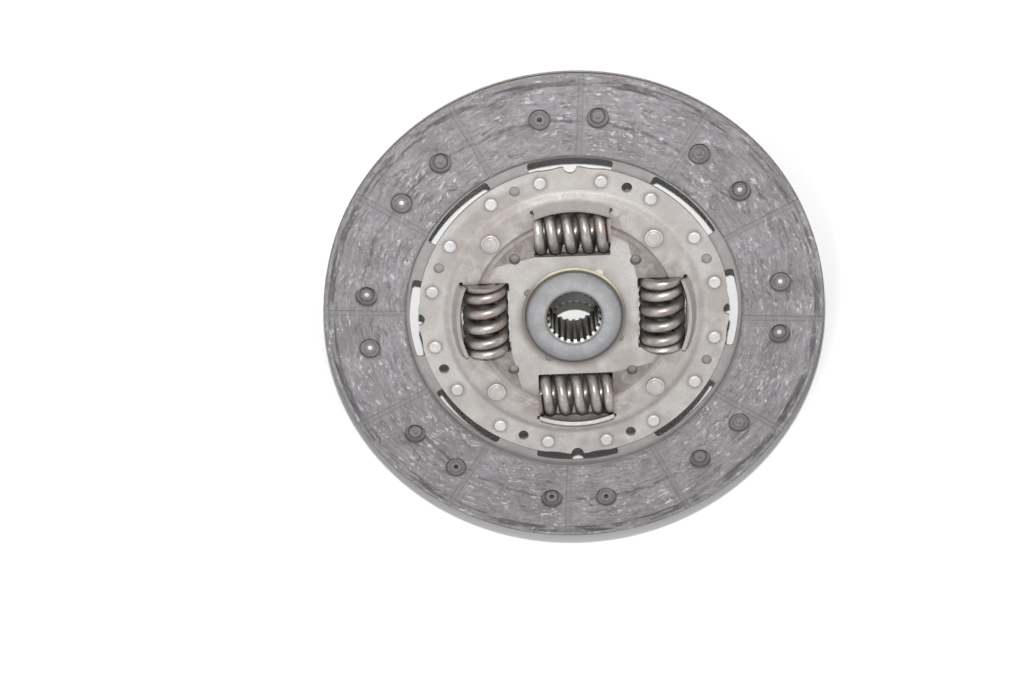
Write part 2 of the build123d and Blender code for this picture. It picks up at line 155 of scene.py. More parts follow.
def feed(tree, socket, value):
    # link a socket, or set its constant
    if isinstance(value, bpy.types.NodeSocket):
        tree.links.new(value, socket)
    elif isinstance(value, (tuple, list)) and len(value) == 3 and socket.type == "RGBA":
        socket.default_value = (*value, 1)
    else:
        socket.default_value = value


def calc(tree, operation, *values):
    n = tree.nodes.new("ShaderNodeMath")
    n.operation = operation
    for socket, value in zip(n.inputs, values):
        feed(tree, socket, value)
    return n.outputs[0]


def plus(tree, a, b):
    return calc(tree, "ADD", a, b)


def minus(tree, a, b):
    return calc(tree, "SUBTRACT", a, b)


def both(tree, a, b):
    return calc(tree, "MULTIPLY", a, b)


def most(tree, a, b):
    return calc(tree, "MAXIMUM", a, b)


def absolute(tree, a):
    return calc(tree, "ABSOLUTE", a)


def diagonal(tree, a, b):
    return calc(tree, "SQRT", plus(tree, both(tree, a, a), both(tree, b, b)))


def vector(tree, operation, *values):
    n = tree.nodes.new("ShaderNodeVectorMath")
    n.operation = operation
    for socket, value in zip(n.inputs, values):
        feed(tree, socket, value)
    return n.outputs["Vector"]


def scaled(tree, value, factor):
    n = tree.nodes.new("ShaderNodeVectorMath")
    n.operation = "SCALE"
    feed(tree, n.inputs[0], value)
    n.inputs["Scale"].default_value = factor
    return n.outputs["Vector"]


def lengthOf(tree, value):
    n = tree.nodes.new("ShaderNodeVectorMath")
    n.operation = "LENGTH"
    feed(tree, n.inputs[0], value)
    return n.outputs["Value"]


def joined(tree, x, y, z=0.0):
    n = tree.nodes.new("ShaderNodeCombineXYZ")
    for socket, value in zip(n.inputs, (x, y, z)):
        feed(tree, socket, value)
    return n.outputs[0]


def mapped(tree, value, low, high, toLow=0.0, toHigh=1.0, smooth=False):
    n = tree.nodes.new("ShaderNodeMapRange")
    n.interpolation_type = "SMOOTHSTEP" if smooth else "LINEAR"
    feed(tree, n.inputs["Value"], value)
    n.inputs["From Min"].default_value = low
    n.inputs["From Max"].default_value = high
    n.inputs["To Min"].default_value = toLow
    n.inputs["To Max"].default_value = toHigh
    return n.outputs["Result"]


def blendColour(tree, factor, first, second):
    n = tree.nodes.new("ShaderNodeMix")
    n.data_type = "RGBA"
    n.clamp_factor = True
    feed(tree, n.inputs["Factor"], factor)
    sockets = [s for s in n.inputs if s.type == "RGBA"]
    feed(tree, sockets[0], first)
    feed(tree, sockets[1], second)
    return [s for s in n.outputs if s.type == "RGBA"][0]


def noise(tree, place, scale, detail=4.0, rough=0.6, distortion=0.0):
    n = tree.nodes.new("ShaderNodeTexNoise")
    feed(tree, n.inputs["Vector"], place)
    n.inputs["Scale"].default_value = scale
    n.inputs["Detail"].default_value = detail
    n.inputs["Roughness"].default_value = rough
    n.inputs["Distortion"].default_value = distortion
    return n.outputs["Fac"]


def cells(tree, place, scale):
    n = tree.nodes.new("ShaderNodeTexVoronoi")
    feed(tree, n.inputs["Vector"], place)
    n.inputs["Scale"].default_value = scale
    return n.outputs["Distance"], n.outputs["Color"]


def bump(tree, shader, height, strength, distance):
    n = tree.nodes.new("ShaderNodeBump")
    n.inputs["Strength"].default_value = strength
    n.inputs["Distance"].default_value = distance
    feed(tree, n.inputs["Height"], height)
    tree.links.new(n.outputs["Normal"], shader.inputs["Normal"])
    return n


def rounded(tree, bumpNode, radius):
    # soften the sharp edges of a solid in the shading
    n = tree.nodes.new("ShaderNodeBevel")
    n.samples = 4
    n.inputs["Radius"].default_value = radius * mm
    tree.links.new(n.outputs["Normal"], bumpNode.inputs["Normal"])


def discPlace(tree, turn=0.0):
    # position in mm, radius, angle in degrees and height
    n = tree.nodes.new("ShaderNodeTexCoord")
    place = scaled(tree, n.outputs["Object"], 1000)
    split = tree.nodes.new("ShaderNodeSeparateXYZ")
    tree.links.new(place, split.inputs[0])
    x, y, z = split.outputs
    c, s = cos(radians(turn)), sin(radians(turn))
    xt = minus(tree, both(tree, x, c), both(tree, y, s))
    yt = plus(tree, both(tree, x, s), both(tree, y, c))
    radius = diagonal(tree, x, y)
    angle = both(tree, calc(tree, "ARCTAN2", yt, xt), 180 / pi)
    return place, radius, angle, z


def folded(tree, angle, pitch, offset=0.0):
    # signed angle to the nearest of several directions that repeat at a pitch
    shifted = plus(tree, angle, 720 + pitch / 2 - offset)
    return minus(tree, calc(tree, "MODULO", shifted, pitch), pitch / 2)


def awayFrom(tree, angle, middle):
    # degrees from one direction
    return absolute(tree, folded(tree, angle, 360.0, middle))


def sideFade(tree, angle, side, beside, opposite):
    # one level near a direction, fading to another away from it
    middle, near, far = side
    return mapped(tree, awayFrom(tree, angle, middle), near, far, beside, opposite, smooth=True)


def depthFade(tree, z, top, depths, full=1.0):
    # nothing at the first depth below a face, full at the second
    return mapped(tree, z, top - depths[0], top - depths[1], 0.0, full)


def spotDistance(tree, radius, folding, circle):
    # distance in mm to a spot on a circle, from the folded angle
    return diagonal(tree, both(tree, folding, circle * pi / 180), minus(tree, radius, circle))


def pairDistance(tree, radius, angle, pitch, circle, offset, middle=0.0):
    # distance in mm to spots that lie on both sides of repeating directions
    beside = minus(tree, absolute(tree, folded(tree, angle, pitch, middle)), offset)
    return spotDistance(tree, radius, beside, circle)


def band(tree, value, middle, half, soft):
    # one inside a band, fading over a soft edge
    away = absolute(tree, minus(tree, value, middle))
    return mapped(tree, away, half, half + soft, 1.0, 0.0, smooth=True)


def stained(tree, colour, mask, strength, tone):
    # lay a tone over a colour where a mask says, at some strength
    return blendColour(tree, both(tree, mask, strength), colour, tone)


def shadedCorners(tree, reach, low, high, strength=1.0):
    # painted shade, full in corners and gaps that little light gets into
    n = tree.nodes.new("ShaderNodeAmbientOcclusion")
    n.samples = 6
    n.inputs["Distance"].default_value = reach * mm
    return mapped(tree, n.outputs["AO"], low, high, 0.0, strength)


def surface(tree, shader, colour, look, grain, smoother, rougher):
    # colour, metal and a roughness that follows the grain
    feed(tree, shader.inputs["Base Color"], colour)
    shader.inputs["Metallic"].default_value = look.get("metallic", 0.0)
    rough = look["roughness"]
    varied = mapped(tree, grain, 0.3, 0.7, rough - smoother, rough + rougher)
    feed(tree, shader.inputs["Roughness"], varied)
    return varied


def dress(name, material):
    data = nodes[name].data
    data.materials.clear()
    data.materials.append(material)


# floor
def floorMaterial():
    material, tree, shader = newMaterial("paleFloor")
    place, radius, _, _ = discPlace(tree)
    low = tuple(c * 0.985 for c in light["floorColour"])
    pale = blendColour(tree, noise(tree, place, 0.05, 3, 0.6), low, light["floorColour"])
    # a dark tint stands in for shade on most of the floor that the lamp reaches through the bore
    bore, litEdge, openEdge = light["boreR"], light["boreLitEdge"], light["boreOpenEdge"]
    fromLit = lengthOf(tree, vector(tree, "SUBTRACT", place, light["boreLit"]))
    fromOpen = lengthOf(tree, vector(tree, "SUBTRACT", place, light["boreOpen"]))
    outside = mapped(tree, fromLit, bore + litEdge[0], bore + litEdge[1], smooth=True)
    inside = mapped(tree, fromOpen, bore + openEdge[0], bore + openEdge[1])
    colour = stained(tree, pale, outside, inside, light["boreShade"])
    feed(tree, shader.inputs["Base Color"], colour)
    shader.inputs["Roughness"].default_value = light["floorRoughness"]
    # away from the disc the camera sees the floor as white; this glow, seen only by the camera, begins
    # near the rim and is painted light over the disc's shadow there
    path = tree.nodes.new("ShaderNodeLightPath")
    more = light["floorLift"] - light["nearLift"]
    near = mapped(tree, radius, *light["nearFrom"], 0.0, light["nearLift"], smooth=True)
    far = mapped(tree, radius, *light["floorFrom"], 0.0, more, smooth=True)
    lift = both(tree, plus(tree, near, far), path.outputs["Is Camera Ray"])
    shader.inputs["Emission Color"].default_value = (1, 1, 1, 1)
    feed(tree, shader.inputs["Emission Strength"], lift)
    return material


def addFloor():
    bpy.ops.mesh.primitive_plane_add(size=light["floorSize"], location=(0, 0, 0))
    floor = bpy.context.object
    floor.name = "floor"
    floor.data.materials.append(floorMaterial())


addFloor()
print("floor added")


# friction facings; lengths in mm, directions in degrees
facingLook = {
    "base": (0.262, 0.250, 0.258),
    "pale": (0.375, 0.361, 0.375),
    "dark": (0.062, 0.056, 0.060),
    "brown": (0.205, 0.184, 0.182),
    "violet": (0.255, 0.245, 0.275),
    "fleck": (0.74, 0.73, 0.76),
    "side": (0.345, 0.325, 0.305),
    "floor": (0.235, 0.225, 0.230),
    "frontFaceZ": 25.0,
    "rearFaceZ": 17.0,
    "faceEdge": (0.12, 0.25),  # half width and fade, as for the grooves
    # painted shade along the gap between the two facings on their outer side
    "gapShade": (21.0, 0.75, 0.35),  # middle, half width and fade
    "sideR": (119.0, 119.6),
    "edgeR": (119.2, 119.8, 82.0, 80.8),  # where each edge begins to darken and is full
    "unrollR": 100,
    "sway": (5.0, -8.0),
    "grooveTurn": 3.0,
    "grooves": 12,
    "grooveDepth": 0.7,
    "grooveEdge": (0.15, 0.15),
    "grooveCalm": (2.2, 5.0, 0.42),  # full within the first, none beyond the second, and strength
    "rivets": (99.7, 7.8),  # radius, and degrees to each side of every eighth of a turn
    "rivetDirt": (5.1, 6.6),
    "pocketR": (6.0, 0.2),  # half width and fade, as for the sink
    "pocketSink": (3.05, 0.1),
    # turn, length, width, share and seed
    "fibres": ((8, 8.5, 2.1, 0.20, 1), (-32, 6.0, 1.9, 0.18, 2), (48, 5.0, 2.0, 0.15, 4)),
    # radius, half width and seed
    "rimMarks": ((117.3, 0.35, 31), (115.1, 0.25, 33), (116.4, 1.3, 35)),
    # first and last direction, and the radius at each
    "cracks": ((59.0, 168.0, 96.5, 101.8), (-139.0, -57.0, 97.0, 100.0)),
    "crackSway": 5.0,
    "crackHalf": (0.35, 1.1),
    "rounding": 0.5,
    "roughness": 0.82,
}


def stretched(tree, flat, along, across, seed, turn=0.0):
    # the unrolled ring, scaled along and across its run
    n = tree.nodes.new("ShaderNodeMapping")
    feed(tree, n.inputs["Vector"], flat)
    n.inputs["Location"].default_value = (seed * 17.3, seed * 5.7, seed)
    n.inputs["Rotation"].default_value = (0, 0, radians(turn))
    n.inputs["Scale"].default_value = (along, across, 1)
    return n.outputs["Vector"]


def streaky(tree, flat, along, across, seed, detail, rough=0.5, turn=0.0):
    # noise drawn out along the ring
    return noise(tree, stretched(tree, flat, along, across, seed, turn), 1.0, detail, rough)


def fibres(tree, flat, turn, length, width, share, seed):
    # short threads that lie in one direction on the unrolled ring
    distance, colour = cells(tree, stretched(tree, flat, 1 / length, 1 / width, seed, turn), 1.0)
    pick = tree.nodes.new("ShaderNodeSeparateColor")
    tree.links.new(colour, pick.inputs[0])
    chosen = mapped(tree, pick.outputs[0], share, share - 0.08)
    return both(tree, mapped(tree, distance, 0.34, 0.16, smooth=True), chosen)


def mostOf(tree, marks):
    total = marks[0]
    for mark in marks[1:]:
        total = most(tree, total, mark)
    return total


def facingGround(tree, look, place, streak, grain, fine):
    # the mottled resin under the fibres
    cloud = noise(tree, place, 0.05, 5, 0.62)
    tint = noise(tree, place, 0.11, 3, 0.6)
    colour = blendColour(tree, mapped(tree, grain, 0.34, 0.66), look["base"], look["pale"])
    colour = blendColour(tree, mapped(tree, cloud, 0.42, 0.60, 0.0, 0.6), colour, look["brown"])
    colour = blendColour(tree, mapped(tree, tint, 0.52, 0.66, 0.0, 0.45), colour, look["violet"])
    colour = blendColour(tree, mapped(tree, streak, 0.30, 0.50, 0.30, 0.0), colour, look["dark"])
    colour = blendColour(tree, mapped(tree, streak, 0.52, 0.74, 0.0, 0.28), colour, look["fleck"])
    return blendColour(tree, mapped(tree, fine, 0.36, 0.56, 0.40, 0.0), colour, look["dark"])


def facingFlecks(tree, look, place, flat, fine):
    # pale threads and dabs, in clusters
    cluster = mapped(tree, noise(tree, place, 0.075, 3, 0.6), 0.42, 0.60, 0.12, 1.0)
    broad = mapped(tree, streaky(tree, flat, 0.21, 0.50, 11, 3, 0.58), 0.600, 0.650)
    small = mapped(tree, streaky(tree, flat, 0.42, 0.80, 12, 2, turn=20), 0.64, 0.69)
    dabs = [broad, both(tree, small, 0.9)]
    dabs += [fibres(tree, flat, *each) for each in look["fibres"]]
    flecks = both(tree, mostOf(tree, dabs), cluster)
    return both(tree, flecks, mapped(tree, fine, 0.34, 0.52, 0.6, 1.0))


def facingStreaks(tree, flat):
    # thin dark lines that wander along the ring
    contour = streaky(tree, flat, 0.035, 0.20, 21, 4, 0.55)
    broken = mapped(tree, streaky(tree, flat, 0.06, 0.12, 22, 2, 0.6), 0.46, 0.56)
    lines = both(tree, band(tree, contour, 0.5, 0.006, 0.016), broken)
    dashes = fibres(tree, flat, 3, 15.0, 1.1, 0.16, 7)
    nicks = fibres(tree, flat, -12, 7.0, 1.0, 0.16, 8)
    return mostOf(tree, [lines, dashes, both(tree, nicks, 0.8)])


def facingCrack(tree, look, unrolled, radius, angle, first, last, startR, endR):
    # a crack from one direction to another, drifting in radius
    track = mapped(tree, angle, first, last, startR, endR)
    sway = minus(tree, noise(tree, unrolled, 0.06, 3), 0.5)
    off = absolute(tree, minus(tree, minus(tree, radius, track), both(tree, sway, look["crackSway"])))
    begun = mapped(tree, angle, first - 1, first + 1)
    ended = mapped(tree, angle, last - 1, last + 1, 1.0, 0.0)
    near = mapped(tree, off, *look["crackHalf"], 1.0, 0.0, smooth=True)
    crack = both(tree, near, both(tree, begun, ended))
    return both(tree, crack, mapped(tree, noise(tree, unrolled, 0.22, 3), 0.40, 0.55, 0.15, 1.0))


def facingMaterial(name, faceZ, look):
    material, tree, shader = newMaterial(name)
    place, radius, angle, z = discPlace(tree, look["grooveTurn"])
    unrolled = joined(tree, both(tree, angle, look["unrollR"] * pi / 180), radius)
    wave = noise(tree, unrolled, 0.07, 3, 0.6)
    along, across = look["sway"]
    sway = joined(tree, both(tree, wave, along), both(tree, wave, across))
    flat = vector(tree, "ADD", unrolled, sway)
    grain = noise(tree, place, 0.55, 5, 0.66)
    fine = noise(tree, place, 2.6, 3, 0.6)
    streak = streaky(tree, flat, 0.085, 0.55, 3, 5, 0.66)
    flecks = facingFlecks(tree, look, place, flat, fine)
    streaks = facingStreaks(tree, flat)
    colour = facingGround(tree, look, place, streak, grain, fine)
    colour = stained(tree, colour, flecks, 0.68, look["fleck"])
    colour = stained(tree, colour, streaks, 0.52, look["dark"])

    # marks near the rim, edges darkened toward both rims, and cracks
    drift = minus(tree, radius, both(tree, wave, 1.6))
    for circle, half, seed in look["rimMarks"]:
        piece = mapped(tree, streaky(tree, unrolled, 0.055, 0.25, seed, 3, 0.6), 0.48, 0.57)
        rim = both(tree, band(tree, drift, circle - 0.8, half, 0.55), piece)
        colour = stained(tree, colour, rim, 0.68, look["dark"])
    outer, outerEnd, inner, innerEnd = look["edgeR"]
    edge = most(tree, mapped(tree, radius, outer, outerEnd), mapped(tree, radius, inner, innerEnd))
    colour = stained(tree, colour, edge, mapped(tree, grain, 0.40, 0.55, 0.2, 0.7), look["dark"])
    for each in look["cracks"]:
        crack = facingCrack(tree, look, unrolled, radius, angle, *each)
        colour = stained(tree, colour, crack, 0.6, look["dark"])

    # the surface is calmer beside the grooves
    near, far, strength = look["grooveCalm"]
    toGroove = folded(tree, angle, 360 / look["grooves"])
    toGroove = absolute(tree, both(tree, toGroove, both(tree, radius, pi / 180)))
    calm = mapped(tree, toGroove, near, far, strength, 0.0, smooth=True)
    smoothTone = blendColour(tree, mapped(tree, grain, 0.30, 0.70), look["floor"], look["base"])
    colour = blendColour(tree, calm, colour, smoothTone)

    # what lies below the face: groove floors, the outer side and the rivets' pockets
    low = blendColour(tree, mapped(tree, streak, 0.40, 0.60, 0.0, 0.5), smoothTone, look["brown"])
    wall = blendColour(tree, mapped(tree, grain, 0.40, 0.62, 0.0, 0.6), look["side"], look["dark"])
    # painted shade on the outer side where the two facings part
    wall = blendColour(tree, band(tree, z, *look["gapShade"]), wall, look["dark"])
    low = blendColour(tree, mapped(tree, radius, *look["sideR"]), low, wall)
    shallow = band(tree, z, faceZ - look["grooveDepth"], *look["grooveEdge"])
    low = stained(tree, low, shallow, 0.65, colour)
    rivetCircle, rivetOffset = look["rivets"]
    sunk = band(tree, z, (look["frontFaceZ"] + look["rearFaceZ"]) / 2, *look["pocketSink"])
    pocket = both(tree, sunk, band(tree, radius, rivetCircle, *look["pocketR"]))
    low = stained(tree, low, pocket, mapped(tree, grain, 0.3, 0.7, 0.65, 0.35), look["dark"])
    toRivet = pairDistance(tree, radius, angle, 45.0, rivetCircle, rivetOffset, look["grooveTurn"])
    ring = mapped(tree, toRivet, *look["rivetDirt"], 1.0, 0.0)
    ring = both(tree, ring, mapped(tree, grain, 0.38, 0.60))
    colour = stained(tree, colour, ring, 0.40, look["dark"])
    colour = blendColour(tree, band(tree, z, faceZ, *look["faceEdge"]), low, colour)

    surface(tree, shader, colour, look, grain, -0.08, -0.1)
    raised = minus(tree, both(tree, flecks, 0.4), both(tree, streaks, 0.9))
    bumpNode = bump(tree, shader, plus(tree, both(tree, grain, 0.6), raised), 0.3, 0.3 * mm)
    rounded(tree, bumpNode, look["rounding"])
    return material


dress("front_facing", facingMaterial("frictionFront", facingLook["frontFaceZ"], facingLook))
dress("rear_facing", facingMaterial("frictionRear", facingLook["rearFaceZ"], facingLook))
print("facings dressed")


# plates, rivets and pins; a stain or the bead is a radius, half a width and a fade, and a side is a
# direction and the degrees from it between which it fades
plateLook = {
    "base": (0.545, 0.533, 0.513),
    "shade": (0.445, 0.425, 0.405),
    "dirtAndShade": (0.175, 0.143, 0.134),
    "violet": (0.315, 0.272, 0.264),
    "rimRivets": (68.9, 12.0),  # radius, and degrees to each side of every eighth of a turn
    "rimRivetShade": (3.0, 5.2),
    "pins": 54.6,
    "pinHalo": (4.4, 7.0),
    "pinStain": (4.0, 12.0),
    "windowCorners": (50.0, 25.0),  # radius, and degrees from a window's middle
    "cornerStain": (3.0, 14.0),
    "bead": (46.8, 1.3, 1.5),
    "beadShade": (75.0, 35.0, 100.0),
    "pocketR": (46.6, 46.2),
    "annulusStain": (57.5, 3.5, 4.0),
    "upperStain": (60.5, 8.5, 4.0),
    "upperStainSide": (132.0, 16.0, 42.0),
    "lowerStainSide": (-50.0, 30.0, 110.0),
    "collarSide": (-90.0, 60.0, 150.0),
    "collarDirt": (24.0, 29.0),
    "collarShadowR": (23.6, 26.2),
    "plateauZ": 24.7,
    "pocketDepth": (0.10, 0.25),
    "annulusZ": 25.1,
    "lipDepth": (-0.5, -1.2),
    "cavity": 4,
    "rounding": 0.28,
    "metallic": 0.18,
    "roughness": 0.52,
}


def plateStain(tree, look, place, radius, angle, z, smear, toPin):
    # brown bloom: window corners, pins, the ring between, and two sides of the plate
    cornerR, cornerAngle = look["windowCorners"]
    toCorner = pairDistance(tree, radius, angle, 90.0, cornerR, cornerAngle)
    corners = mapped(tree, toCorner, *look["cornerStain"], 1.0, 0.0, smooth=True)
    stain = most(tree, corners, mapped(tree, toPin, *look["pinStain"], 0.7, 0.0, smooth=True))
    stain = most(tree, stain, both(tree, band(tree, radius, *look["annulusStain"]), 0.55))
    stain = both(tree, stain, mapped(tree, smear, 0.38, 0.54, 0.3, 1.0))
    lower = sideFade(tree, angle, look["lowerStainSide"], 0.62, 0.30)
    patches = mapped(tree, noise(tree, place, 0.07, 4, 0.6, 0.5), 0.40, 0.60)
    stain = most(tree, stain, both(tree, lower, patches))
    upper = sideFade(tree, angle, look["upperStainSide"], 0.8, 0.0)
    upper = both(tree, upper, band(tree, radius, *look["upperStain"]))
    stain = most(tree, stain, both(tree, upper, mapped(tree, smear, 0.34, 0.54, 0.45, 1.0)))
    raised = depthFade(tree, z, look["annulusZ"], look["lipDepth"], 0.45)
    return most(tree, stain, raised)


def plateDirtAndShade(tree, look, radius, angle, z, smear, ragged):
    # dark dirt with painted shade in the bead, dirt in the pockets and round the hub's collar, and a
    # painted shadow of the collar on its lower side
    bead = both(tree, band(tree, radius, *look["bead"]), mapped(tree, ragged, 0, 1, 0.7, 1.0))
    bead = both(tree, bead, sideFade(tree, angle, look["beadShade"], 0.84, 0.40))
    sunk = depthFade(tree, z, look["plateauZ"], look["pocketDepth"])
    pocket = both(tree, mapped(tree, radius, *look["pocketR"]), sunk)
    pocket = both(tree, pocket, mapped(tree, smear, 0.34, 0.58, 0.55, 1.0))
    collarSide = sideFade(tree, angle, look["collarSide"], 1.0, 0.25)
    wide = mapped(tree, radius, *look["collarDirt"], 1.0, 0.0, smooth=True)
    wide = both(tree, wide, collarSide)
    # painted shadow of the collar on the plate, close round it
    collarShadow = mapped(tree, radius, *look["collarShadowR"], 1.0, 0.0, smooth=True)
    collarShadow = both(tree, collarShadow, collarSide)
    return mostOf(tree, [bead, both(tree, most(tree, pocket, wide), 0.92), both(tree, collarShadow, 0.85)])


def plateMaterial(name, look, front):
    material, tree, shader = newMaterial(name)
    place, radius, angle, z = discPlace(tree)
    cloud = noise(tree, place, 0.05, 5, 0.62, 0.4)
    grain = noise(tree, place, 0.9, 5, 0.65)
    speck = noise(tree, place, 4.0, 3, 0.6)
    smear = noise(tree, place, 0.16, 5, 0.66, 0.6)
    ragged = mapped(tree, noise(tree, place, 0.35, 4, 0.65), 0.35, 0.65)
    colour = blendColour(tree, mapped(tree, cloud, 0.38, 0.66), look["base"], look["shade"])
    colour = blendColour(tree, mapped(tree, grain, 0.42, 0.72, 0.0, 0.35), colour, look["violet"])
    colour = blendColour(tree, mapped(tree, speck, 0.62, 0.78, 0.0, 0.25), colour, look["dirtAndShade"])
    rivetCircle, rivetOffset = look["rimRivets"]
    toRivet = pairDistance(tree, radius, angle, 45.0, rivetCircle, rivetOffset)
    toPin = spotDistance(tree, radius, folded(tree, angle, 90.0, 45.0), look["pins"])
    # painted shade in a ring round each rim rivet's head, and dirt in a ring round each pin
    rivetShadeRing = mapped(tree, toRivet, *look["rimRivetShade"], 1.0, 0.0)
    shadeAndDirtRing = most(tree, rivetShadeRing, mapped(tree, toPin, *look["pinHalo"], 1.0, 0.0))
    shadeAndDirtRing = both(tree, shadeAndDirtRing, mapped(tree, ragged, 0, 1, 0.35, 1.0))
    colour = stained(tree, colour, shadeAndDirtRing, 0.7, look["dirtAndShade"])
    stain = plateStain(tree, look, place, radius, angle, z, smear, toPin)
    colour = stained(tree, colour, stain, 0.95, look["violet"])
    # painted shade in corners and gaps; on the front plate the dirt and painted shade below join it
    dirtAndShade = both(tree, shadedCorners(tree, look["cavity"], 0.85, 0.45), 0.6)
    if front:
        dirtAndShade = most(tree, dirtAndShade, plateDirtAndShade(tree, look, radius, angle, z, smear, ragged))
    colour = blendColour(tree, dirtAndShade, colour, look["dirtAndShade"])
    surface(tree, shader, colour, look, grain, 0.06, 0.14)
    height = plus(tree, both(tree, grain, 0.5), both(tree, speck, 0.25))
    rounded(tree, bump(tree, shader, height, 0.35, 0.12 * mm), look["rounding"])
    return material


steelLook = {
    "rimRivet": {
        "base": (0.66, 0.655, 0.655), "shade": (0.50, 0.49, 0.485), "dirtAndShade": (0.30, 0.27, 0.26),
        "metallic": 0.3, "roughness": 0.38, "mark": 0.45,
    },
    "pin": {
        "base": (0.56, 0.525, 0.515), "shade": (0.42, 0.385, 0.38), "dirtAndShade": (0.22, 0.19, 0.18),
        "metallic": 0.5, "roughness": 0.34, "mark": 0.4,
    },
    "facingRivet": {
        "base": (0.225, 0.215, 0.220), "shade": (0.155, 0.147, 0.150), "dirtAndShade": (0.045, 0.042, 0.042),
        "metallic": 0.3, "roughness": 0.5, "mark": 0.8,
        "rings": (99.7, 7.8), "rolled": (2.9, 0.35, 0.5), "worn": (1.75, 0.25, 0.35),
        "pale": (0.5, 0.48, 0.48), "corner": 0.25,
    },
    "cushion": {
        "base": (0.345, 0.338, 0.338), "shade": (0.285, 0.270, 0.265), "dirtAndShade": (0.19, 0.17, 0.165),
        "metallic": 0.4, "roughness": 0.42, "mark": 0.4, "corner": 0.3, "hidden": (84.0, 85.0),
    },
    "flange": {
        "base": (0.36, 0.335, 0.325), "shade": (0.25, 0.23, 0.22), "dirtAndShade": (0.08, 0.07, 0.07),
        "metallic": 0.6, "roughness": 0.42, "mark": 0.6,
    },
    "pack": {
        "base": (0.33, 0.33, 0.34), "shade": (0.24, 0.24, 0.25), "dirtAndShade": (0.12, 0.11, 0.11),
        "metallic": 0.7, "roughness": 0.35, "mark": 0.4,
    },
    "cavity": 2.5,
    "rounding": 0.2,
}


def rivetRings(tree, colour, look, radius, angle, grain):
    # the rolled edge of a tubular rivet, dirty outside and worn bright inside
    away = pairDistance(tree, radius, angle, 45.0, *look["rings"])
    rolled = both(tree, band(tree, away, *look["rolled"]), mapped(tree, grain, 0.35, 0.6, 0.3, 1.0))
    colour = stained(tree, colour, rolled, 0.34, look["dirtAndShade"])
    worn = both(tree, band(tree, away, *look["worn"]), mapped(tree, grain, 0.45, 0.6))
    return stained(tree, colour, worn, 0.24, look["pale"])


def steelMaterial(name, look):
    material, tree, shader = newMaterial(name)
    place, radius, angle, _ = discPlace(tree)
    cloud = noise(tree, place, 0.12, 5, 0.6)
    grain = noise(tree, place, 1.3, 5, 0.65)
    speck = noise(tree, place, 5.0, 3, 0.6)
    colour = blendColour(tree, mapped(tree, cloud, 0.36, 0.66), look["base"], look["shade"])
    colour = blendColour(tree, mapped(tree, grain, 0.50, 0.74, 0.0, look["mark"]), colour, look["dirtAndShade"])
    # painted shade in corners and gaps
    corner = shadedCorners(tree, steelLook["cavity"], 0.8, 0.4, look.get("corner", 0.7))
    colour = blendColour(tree, corner, colour, look["dirtAndShade"])
    if "hidden" in look:
        # painted shade on the cushion from this radius out, where it runs in between the facings
        shadeBetweenFacings = mapped(tree, radius, *look["hidden"], 0.0, 0.75)
        colour = blendColour(tree, shadeBetweenFacings, colour, look["dirtAndShade"])
    if "rings" in look:
        colour = rivetRings(tree, colour, look, radius, angle, grain)
    surface(tree, shader, colour, look, grain, 0.05, 0.15)
    height = plus(tree, both(tree, grain, 0.5), both(tree, speck, 0.3))
    rounded(tree, bump(tree, shader, height, 0.3, 0.08 * mm), steelLook["rounding"])
    return material


dress("cover_plate", plateMaterial("coverSteel", plateLook, True))
dress("rear_plate", plateMaterial("rearSteel", plateLook, False))
dress("rim_rivets", steelMaterial("zincRivet", steelLook["rimRivet"]))
dress("stop_pins", steelMaterial("pinSteel", steelLook["pin"]))
facingRivetMaterial = steelMaterial("facingRivetSteel", steelLook["facingRivet"])
dress("front_facing_rivets", facingRivetMaterial)
dress("rear_facing_rivets", facingRivetMaterial)
dress("cushion_disc", steelMaterial("cushionSteel", steelLook["cushion"]))
dress("hub_flange", steelMaterial("flangeSteel", steelLook["flange"]))
packMaterial = steelMaterial("packSteel", steelLook["pack"])
dress("pressure_washer", packMaterial)
dress("disc_spring", packMaterial)
print("plates and rivets dressed")


# what fills the bores of the tubular rivets: pale plugs of painted light in some, dark plugs in others,
# the rest open
eyes = {
    "circle": 99.7,
    "radius": 1.24,
    "depth": 0.6,
    "bevel": 0.15,
    "sides": 24,
    "headTop": 24.0,
    "rollTop": 22.4,
    "sunk": 0.15,
    # directions of the rivets, and whether each shows its head or its rolled end
    "bright": ((7.8, True), (37.2, False), (142.8, True), (172.2, False), (187.8, True), (352.2, False)),
    "darkSpots": ((52.8, True), (82.2, False), (127.2, False), (217.2, False), (307.2, False), (322.8, True)),
    "brightLook": {
        "base": (0.78, 0.77, 0.77), "shade": (0.58, 0.57, 0.57), "dirtAndShade": (0.25, 0.23, 0.22),
        "metallic": 0.2, "roughness": 0.4, "mark": 0.4, "corner": 0.3,
    },
}


def addEyes(name, spots, material):
    made = []
    bpy.ops.object.select_all(action="DESELECT")
    for angle, head in spots:
        top = eyes["headTop"] if head else eyes["rollTop"]
        x, y = eyes["circle"] * cos(radians(angle)), eyes["circle"] * sin(radians(angle))
        bpy.ops.mesh.primitive_cylinder_add(
            vertices=eyes["sides"],
            radius=eyes["radius"] * mm,
            depth=eyes["depth"] * mm,
            location=(x * mm, y * mm, (top - eyes["sunk"] - eyes["depth"] / 2) * mm),
        )
        made.append(bpy.context.object)
    for plug in made:
        plug.select_set(True)
    bpy.ops.object.join()
    plugs = bpy.context.object
    plugs.name = name
    bpy.ops.object.transform_apply(location=True, rotation=True, scale=True)
    bpy.ops.object.mode_set(mode="EDIT")
    bpy.ops.mesh.select_all(action="SELECT")
    bpy.ops.mesh.bevel(offset=eyes["bevel"] * mm, segments=2, affect="EDGES")
    bpy.ops.object.mode_set(mode="OBJECT")
    bpy.ops.object.shade_smooth_by_angle(angle=radians(40))
    plugs.data.materials.clear()
    plugs.data.materials.append(material)
    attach(plugs, "disc")
    return plugs


